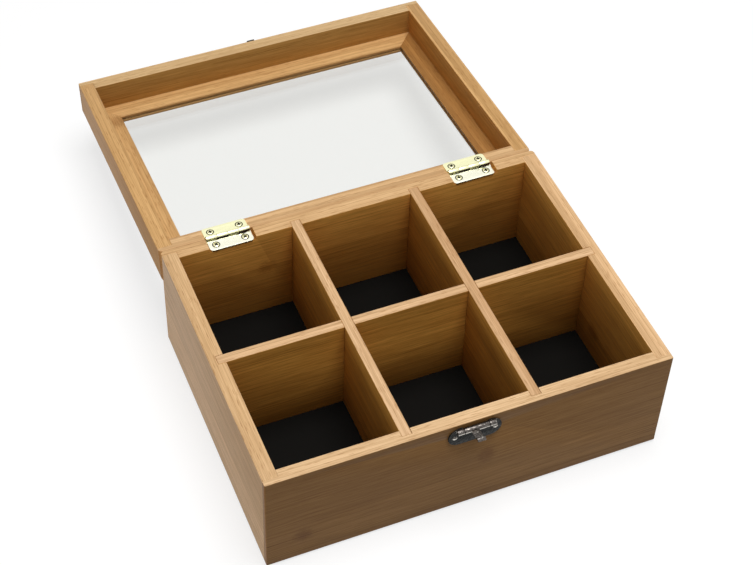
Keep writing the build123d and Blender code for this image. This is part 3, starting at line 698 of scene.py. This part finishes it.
def screw_tree():
    """Cross-head wood screws along -Z, one at each point, turned about their own axes at random."""
    sizes = dict.fromkeys(screw_millimetres, "Float")
    sizes.update({"Lean": "Vector", "Seed": "Int", "Shade and grime": "Material"})
    tree, given = growing("cross-head wood screw", sizes)
    make, vec, move, build = (partial(tool, tree) for tool in (add, vector, put, cut))
    plus, minus, times = arithmetic(tree, "ADD", "SUBTRACT", "MULTIPLY")
    radius, rim, core_radius, point = given["Head"], given["Rim"], given["Core"], given["Point"]

    # a crowned head on a thin rim, with a cross cut in it
    crown, below = domed(tree, radius, minus(given["Crown"], rim), vec(0.0, 0.0, rim), 36, 20, 16)
    disc = make("GeometryNodeMeshCylinder", None, {"Vertices": 36, "Radius": radius, "Depth": rim})
    disc = move(disc, vec(0.0, 0.0, times(rim, 0.5)))
    head = build("DIFFERENCE", build("UNION", crown, disc), below)
    # the cross recess is cut in the near-black finish: painted shade inside it
    wing = make("GeometryNodeMeshCone", None,
                {"Vertices": 4, "Radius Top": 0.7071, "Radius Bottom": 0.42, "Depth": 1.0})
    wing = move(coat(tree, wing, given["Shade and grime"]), (0, 0, -1), (0, 0, pi / 4))
    deep = times(given["Recess depth"], 1.25)
    top = vec(0.0, 0.0, plus(given["Crown"], times(given["Recess depth"], 0.25)))
    wing_x = move(wing, top, (0, 0, 0), vec(given["Recess"], given["Slot"], deep))
    wing_y = move(wing, top, (0, 0, 0), vec(given["Slot"], given["Recess"], deep))
    head = build("DIFFERENCE", coat(tree, head, given["Finish"]), wing_x, wing_y)

    # a shank with a rolled thread, and its point
    neck = minus(given["Shank"], point)
    core = make("GeometryNodeMeshCylinder", None, {"Vertices": 20, "Radius": core_radius, "Depth": neck})
    core = move(core, vec(0.0, 0.0, times(neck, -0.5)))
    tip = make("GeometryNodeMeshCone", None,
               {"Vertices": 20, "Radius Top": 0.0, "Radius Bottom": core_radius, "Depth": point})
    tip = move(tip, vec(0.0, 0.0, times(neck, -1.0)), (pi, 0, 0))
    coil = make("GeometryNodeCurveSpiral", None,
                {"Resolution": 18, "Rotations": thread_turns, "Start Radius": core_radius,
                 "End Radius": core_radius, "Height": times(neck, 0.82)})
    ridge = make("GeometryNodeCurvePrimitiveCircle", {"mode": "RADIUS"},
                 {"Resolution": 4, "Radius": minus(given["Thread"], core_radius)})
    thread = make("GeometryNodeCurveToMesh", None,
                  {"Curve": coil, "Profile Curve": ridge, "Fill Caps": True})
    thread = move(thread, vec(0.0, 0.0, times(neck, -0.98)))
    whole = together(tree, thread, tip, core, head)

    spin = make("FunctionNodeRandomValue", {"data_type": "FLOAT"}, {3: 2 * pi, "Seed": given["Seed"]})
    own = make("FunctionNodeEulerToRotation", None, {0: vec(0.0, 0.0, spin.outputs[1])})
    lean = make("FunctionNodeEulerToRotation", None, {0: given["Lean"]})
    turn = make("FunctionNodeRotateRotation", {"rotation_space": "GLOBAL"},
                {"Rotation": own, "Rotate By": lean})
    screws = at_points(tree, given["Geometry"], whole, turn)
    finished(tree, screws, given["Finish"], given["Shade and grime"])
    return tree


screw = screw_tree()
bright_brass = plate("screw brass", (0.93, 0.89, 0.56), 0.22, 0.88)


def driven(points, lean, seed):
    """A pair of screws driven in at two points, leaning with the leaf that they hold."""
    others = {"Shade and grime": shade_and_grime, "Lean": lean, "Seed": seed}
    return smoothed(grown(screw, points, screw_millimetres, others, bright_brass), sharp_from=32)


for number, (side, (x, y, z)) in enumerate(hinge_pins.items()):
    offsets = (-hole_pitch / 2, hole_pitch / 2)
    spots = [((x + offset) * mm, (y - hole_reach) * mm, (z - leaf_sheet) * mm) for offset in offsets]
    lower = driven(spots, (0, 0, 0), number)
    fitted(side + "_hinge_lower_screws", lower, "base", "hinge_screws", side + "_hinge_base_screws")
    about_pin = Matrix.Translation(Vector((x, y, z)) * mm) @ open_lid
    spots = [about_pin @ (Vector((offset, -hole_reach, leaf_sheet)) * mm) for offset in offsets]
    upper = driven(spots, (pi - lid_turn, 0, 0), number + 5)
    fitted(side + "_hinge_upper_screws", upper, "lid", "hinge_screws", side + "_hinge_lid_screws")

# ---- Swing latch ----------------------------------------------------------------------------
# An oblong wall plate pressed from steel sheet, its ends curled round a pin; a T-shaped lever
# turns on the pin and snaps over the catch. Plate and catch are blackened and keep a mottled
# dark skin; the lever, the pin and the plate's curls are rubbed greyer. All carry bright flecks as
# painted highlights, and the lever, pin and catch have edges worn bright with a painted highlight.
dark_steel = plate("blackened steel with painted glints", (0.009, 0.011, 0.010), 0.45, 0.5, 1500.0, 0.35 * mm,
                   (0.14, 0.14, 0.125), skin=0.18)
rubbed_steel = plate("rubbed steel with painted glints", (0.13, 0.115, 0.105), 0.33, 0.40, 1100.0, 0.10 * mm,
                     (0.78, 0.75, 0.68), 1.0)
# edges worn bright, with a painted highlight along them
worn_edge_highlight = plate("edges worn bright with painted highlight", (0.42, 0.39, 0.35), 0.30, 0.30, 1300.0)
latch_barrel = Vector((-5.5 * mm, 64.9 * mm))     # the pin's Y and Z
curl_radius = 1.75 * mm
latch_parts = (
    # name, CAD node, body, how far its edges are turned, its finish, its edges' finish
    ("latch_wall_plate", "latch_plate", "base", 0.14 * mm, dark_steel, dark_steel),
    ("latch_rod", "latch_pin", "base", 0.20 * mm, rubbed_steel, worn_edge_highlight),
    ("latch_swing_lever", "latch_lever", "latch_lever", 0.18 * mm, rubbed_steel, worn_edge_highlight),
    ("catch_on_lid", "catch_plate", "lid", 0.14 * mm, dark_steel, worn_edge_highlight),
)
for name, node, body, edge, finish, edge_wear_and_highlight in latch_parts:
    mesh = softened(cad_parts[node].data.copy(), edge, finish, edge_wear_and_highlight)
    if node == "latch_plate":
        mesh.materials.append(rubbed_steel)
        for face in mesh.polygons:
            from_pin = Vector((face.center.y, face.center.z)) - latch_barrel
            if from_pin.length < curl_radius:
                face.material_index = 2
    fitted(name, mesh, body, "latch_metal", node)

# ---- Latch nails ----------------------------------------------------------------------------
# Four small domed nails of the same rubbed steel, two through each plate. They are struck from
# wire with a low round head, and driven straight into the wood.
nail_millimetres = {"Head": 1.35, "Dome": 0.55, "Wire": 0.5, "Length": 5.5}
front_face, latch_sheet = -3.7, 0.8
plate_nails, catch_nails = (10.8, 60.0), (5.8, 73.4)     # out from the middle, and up


def nail_tree():
    """Domed nails along +Y, one at each point, their heads standing out to -Y before Lean."""
    tree, given = growing("domed nail", {**dict.fromkeys(nail_millimetres, "Float"), "Lean": "Vector"})
    make, vec, move = (partial(tool, tree) for tool in (add, vector, put))
    wire_radius, length = given["Wire"], given["Length"]
    dome, below = domed(tree, given["Head"], given["Dome"], (0, 0, 0), 28, 16, 12)
    head = cut(tree, "DIFFERENCE", dome, below)
    wire = make("GeometryNodeMeshCylinder", None, {"Vertices": 14, "Radius": wire_radius, "Depth": length})
    wire = move(wire, vec(0.0, 0.0, sums(tree, "MULTIPLY", length, -0.5)))
    tip_long = sums(tree, "MULTIPLY", wire_radius, 2.0)
    tip = make("GeometryNodeMeshCone", None,
               {"Vertices": 14, "Radius Top": 0.0, "Radius Bottom": wire_radius, "Depth": tip_long})
    tip = move(tip, vec(0.0, 0.0, sums(tree, "MULTIPLY", length, -1.0)), (pi, 0, 0))
    whole = move(together(tree, tip, wire, head), (0, 0, 0), (pi / 2, 0, 0))
    lean = make("FunctionNodeEulerToRotation", None, {0: given["Lean"]})
    finished(tree, at_points(tree, given["Geometry"], whole, lean), given["Finish"])
    return tree


nail = nail_tree()
pin = Vector((0, hinge_pins["left"][1], hinge_pins["left"][2])) * mm
shut_to_open = Matrix.Translation(pin) @ open_lid @ Matrix.Translation(-pin)
for name, body, node, (out, up), swing, lean in (
        ("latch_plate_domed_nails", "base", "latch_plate_nails", plate_nails, Matrix(), 0.0),
        ("catch_domed_nails", "lid", "catch_plate_nails", catch_nails, shut_to_open, -lid_turn)):
    spots = [swing @ (Vector((x, front_face - latch_sheet, up)) * mm) for x in (-out, out)]
    mesh = grown(nail, spots, nail_millimetres, {"Lean": (lean, 0, 0)}, rubbed_steel)
    fitted(name, smoothed(mesh, sharp_from=40), body, "latch_metal", node)

# ---- Table, lamps and camera ----------------------------------------------------------------
# A white table that glows only where it is seen, so that it lights the box no more than a grey
# card would, a large lamp overhead, a weak one from the left, and the photograph's viewpoint.
table_grey, table_grey_seen, table_glow = (0.30, 0.30, 0.30), (0.31, 0.31, 0.31), 0.72
air_light, air_seen = 0.20, 0.80
table_mesh = bpy.data.meshes.new("table")
table_mesh.from_pydata([(-3, -3, 0), (3, -3, 0), (3, 3, 0), (-3, 3, 0)], [], [(0, 1, 2, 3)])
table = in_scene("table", table_mesh)


def seen_ray(tree):
    """One for a ray from the camera, a reflection or through glass, and nought for the rest."""
    ray = add(tree, "ShaderNodeLightPath").outputs
    seen = sums(tree, "MAXIMUM", ray["Is Camera Ray"], ray["Is Glossy Ray"])
    return sums(tree, "MAXIMUM", seen, ray["Is Transmission Ray"])


paper = bpy.data.materials.new("white table")
paper.use_nodes = True
tree = paper.node_tree
tree.nodes.clear()
seen = seen_ray(tree)
grey = tint(tree, "MIX", seen, table_grey, table_grey_seen)
dull = add(tree, "ShaderNodeBsdfDiffuse", None, {"Color": grey})
strength = sums(tree, "MULTIPLY", seen, table_glow)
glow = add(tree, "ShaderNodeEmission", None, {"Color": (1, 1, 1, 1), "Strength": strength})
both = add(tree, "ShaderNodeAddShader", None, {0: dull, 1: glow})
add(tree, "ShaderNodeOutputMaterial", None, {"Surface": both})
table_mesh.materials.append(paper)

world = bpy.data.worlds.new("studio")
bpy.context.scene.world = world
world.use_nodes = True
tree = world.node_tree
tree.nodes.clear()
strength = sums(tree, "ADD", air_light, sums(tree, "MULTIPLY", seen_ray(tree), air_seen))
air = add(tree, "ShaderNodeBackground", None, {"Color": (1, 1, 1, 1), "Strength": strength})
add(tree, "ShaderNodeOutputWorld", None, {"Surface": air})


def lamp(name, size, watts, place, aim):
    """A round soft lamp, aimed at a point."""
    light = bpy.data.lights.new(name, "AREA")
    light.shape, light.size, light.energy = "DISK", size, watts
    thing = in_scene(name, light)
    thing.location = place
    thing.rotation_euler = (Vector(aim) - Vector(place)).to_track_quat("-Z", "Y").to_euler()


lamp("overhead softbox", 1.0, 22.5, (0.10, -0.05, 1.6), (0.0, 0.1, 0.05))
lamp("left card", 0.3, 3.0, (-1.2, 0.1, 0.12), (0.0, 0.1, 0.03))

azimuth, elevation, roll, distance = radians(-21.606), radians(46.77), radians(0.486), 0.9776
target = Vector((-0.01396, 0.16763, 0.030))
photo_width, photo_middle = 753, (376.5, 282.5)     # the photograph, in its own pixels
lens_axis, lens_length, sensor_width = (319.5, 240.4), 1751, 36.0
back = Vector((sin(azimuth) * cos(elevation), -cos(azimuth) * cos(elevation), sin(elevation)))
right = Vector((0, 0, 1)).cross(back).normalized()
up = back.cross(right)
right, up = right * cos(roll) + up * sin(roll), up * cos(roll) - right * sin(roll)
turn = Matrix((right, up, back)).transposed()
camera = in_scene("camera", bpy.data.cameras.new("camera"))
camera.matrix_world = Matrix.Translation(target + back * distance) @ turn.to_4x4()
camera.data.sensor_width = sensor_width
camera.data.lens = lens_length * sensor_width / photo_width
camera.data.shift_x = (photo_middle[0] - lens_axis[0]) / photo_width
camera.data.shift_y = (lens_axis[1] - photo_middle[1]) / photo_width
camera.data.clip_start, camera.data.clip_end = 0.02, 20.0
bpy.context.scene.camera = camera
bpy.context.scene.view_settings.view_transform = "Standard"
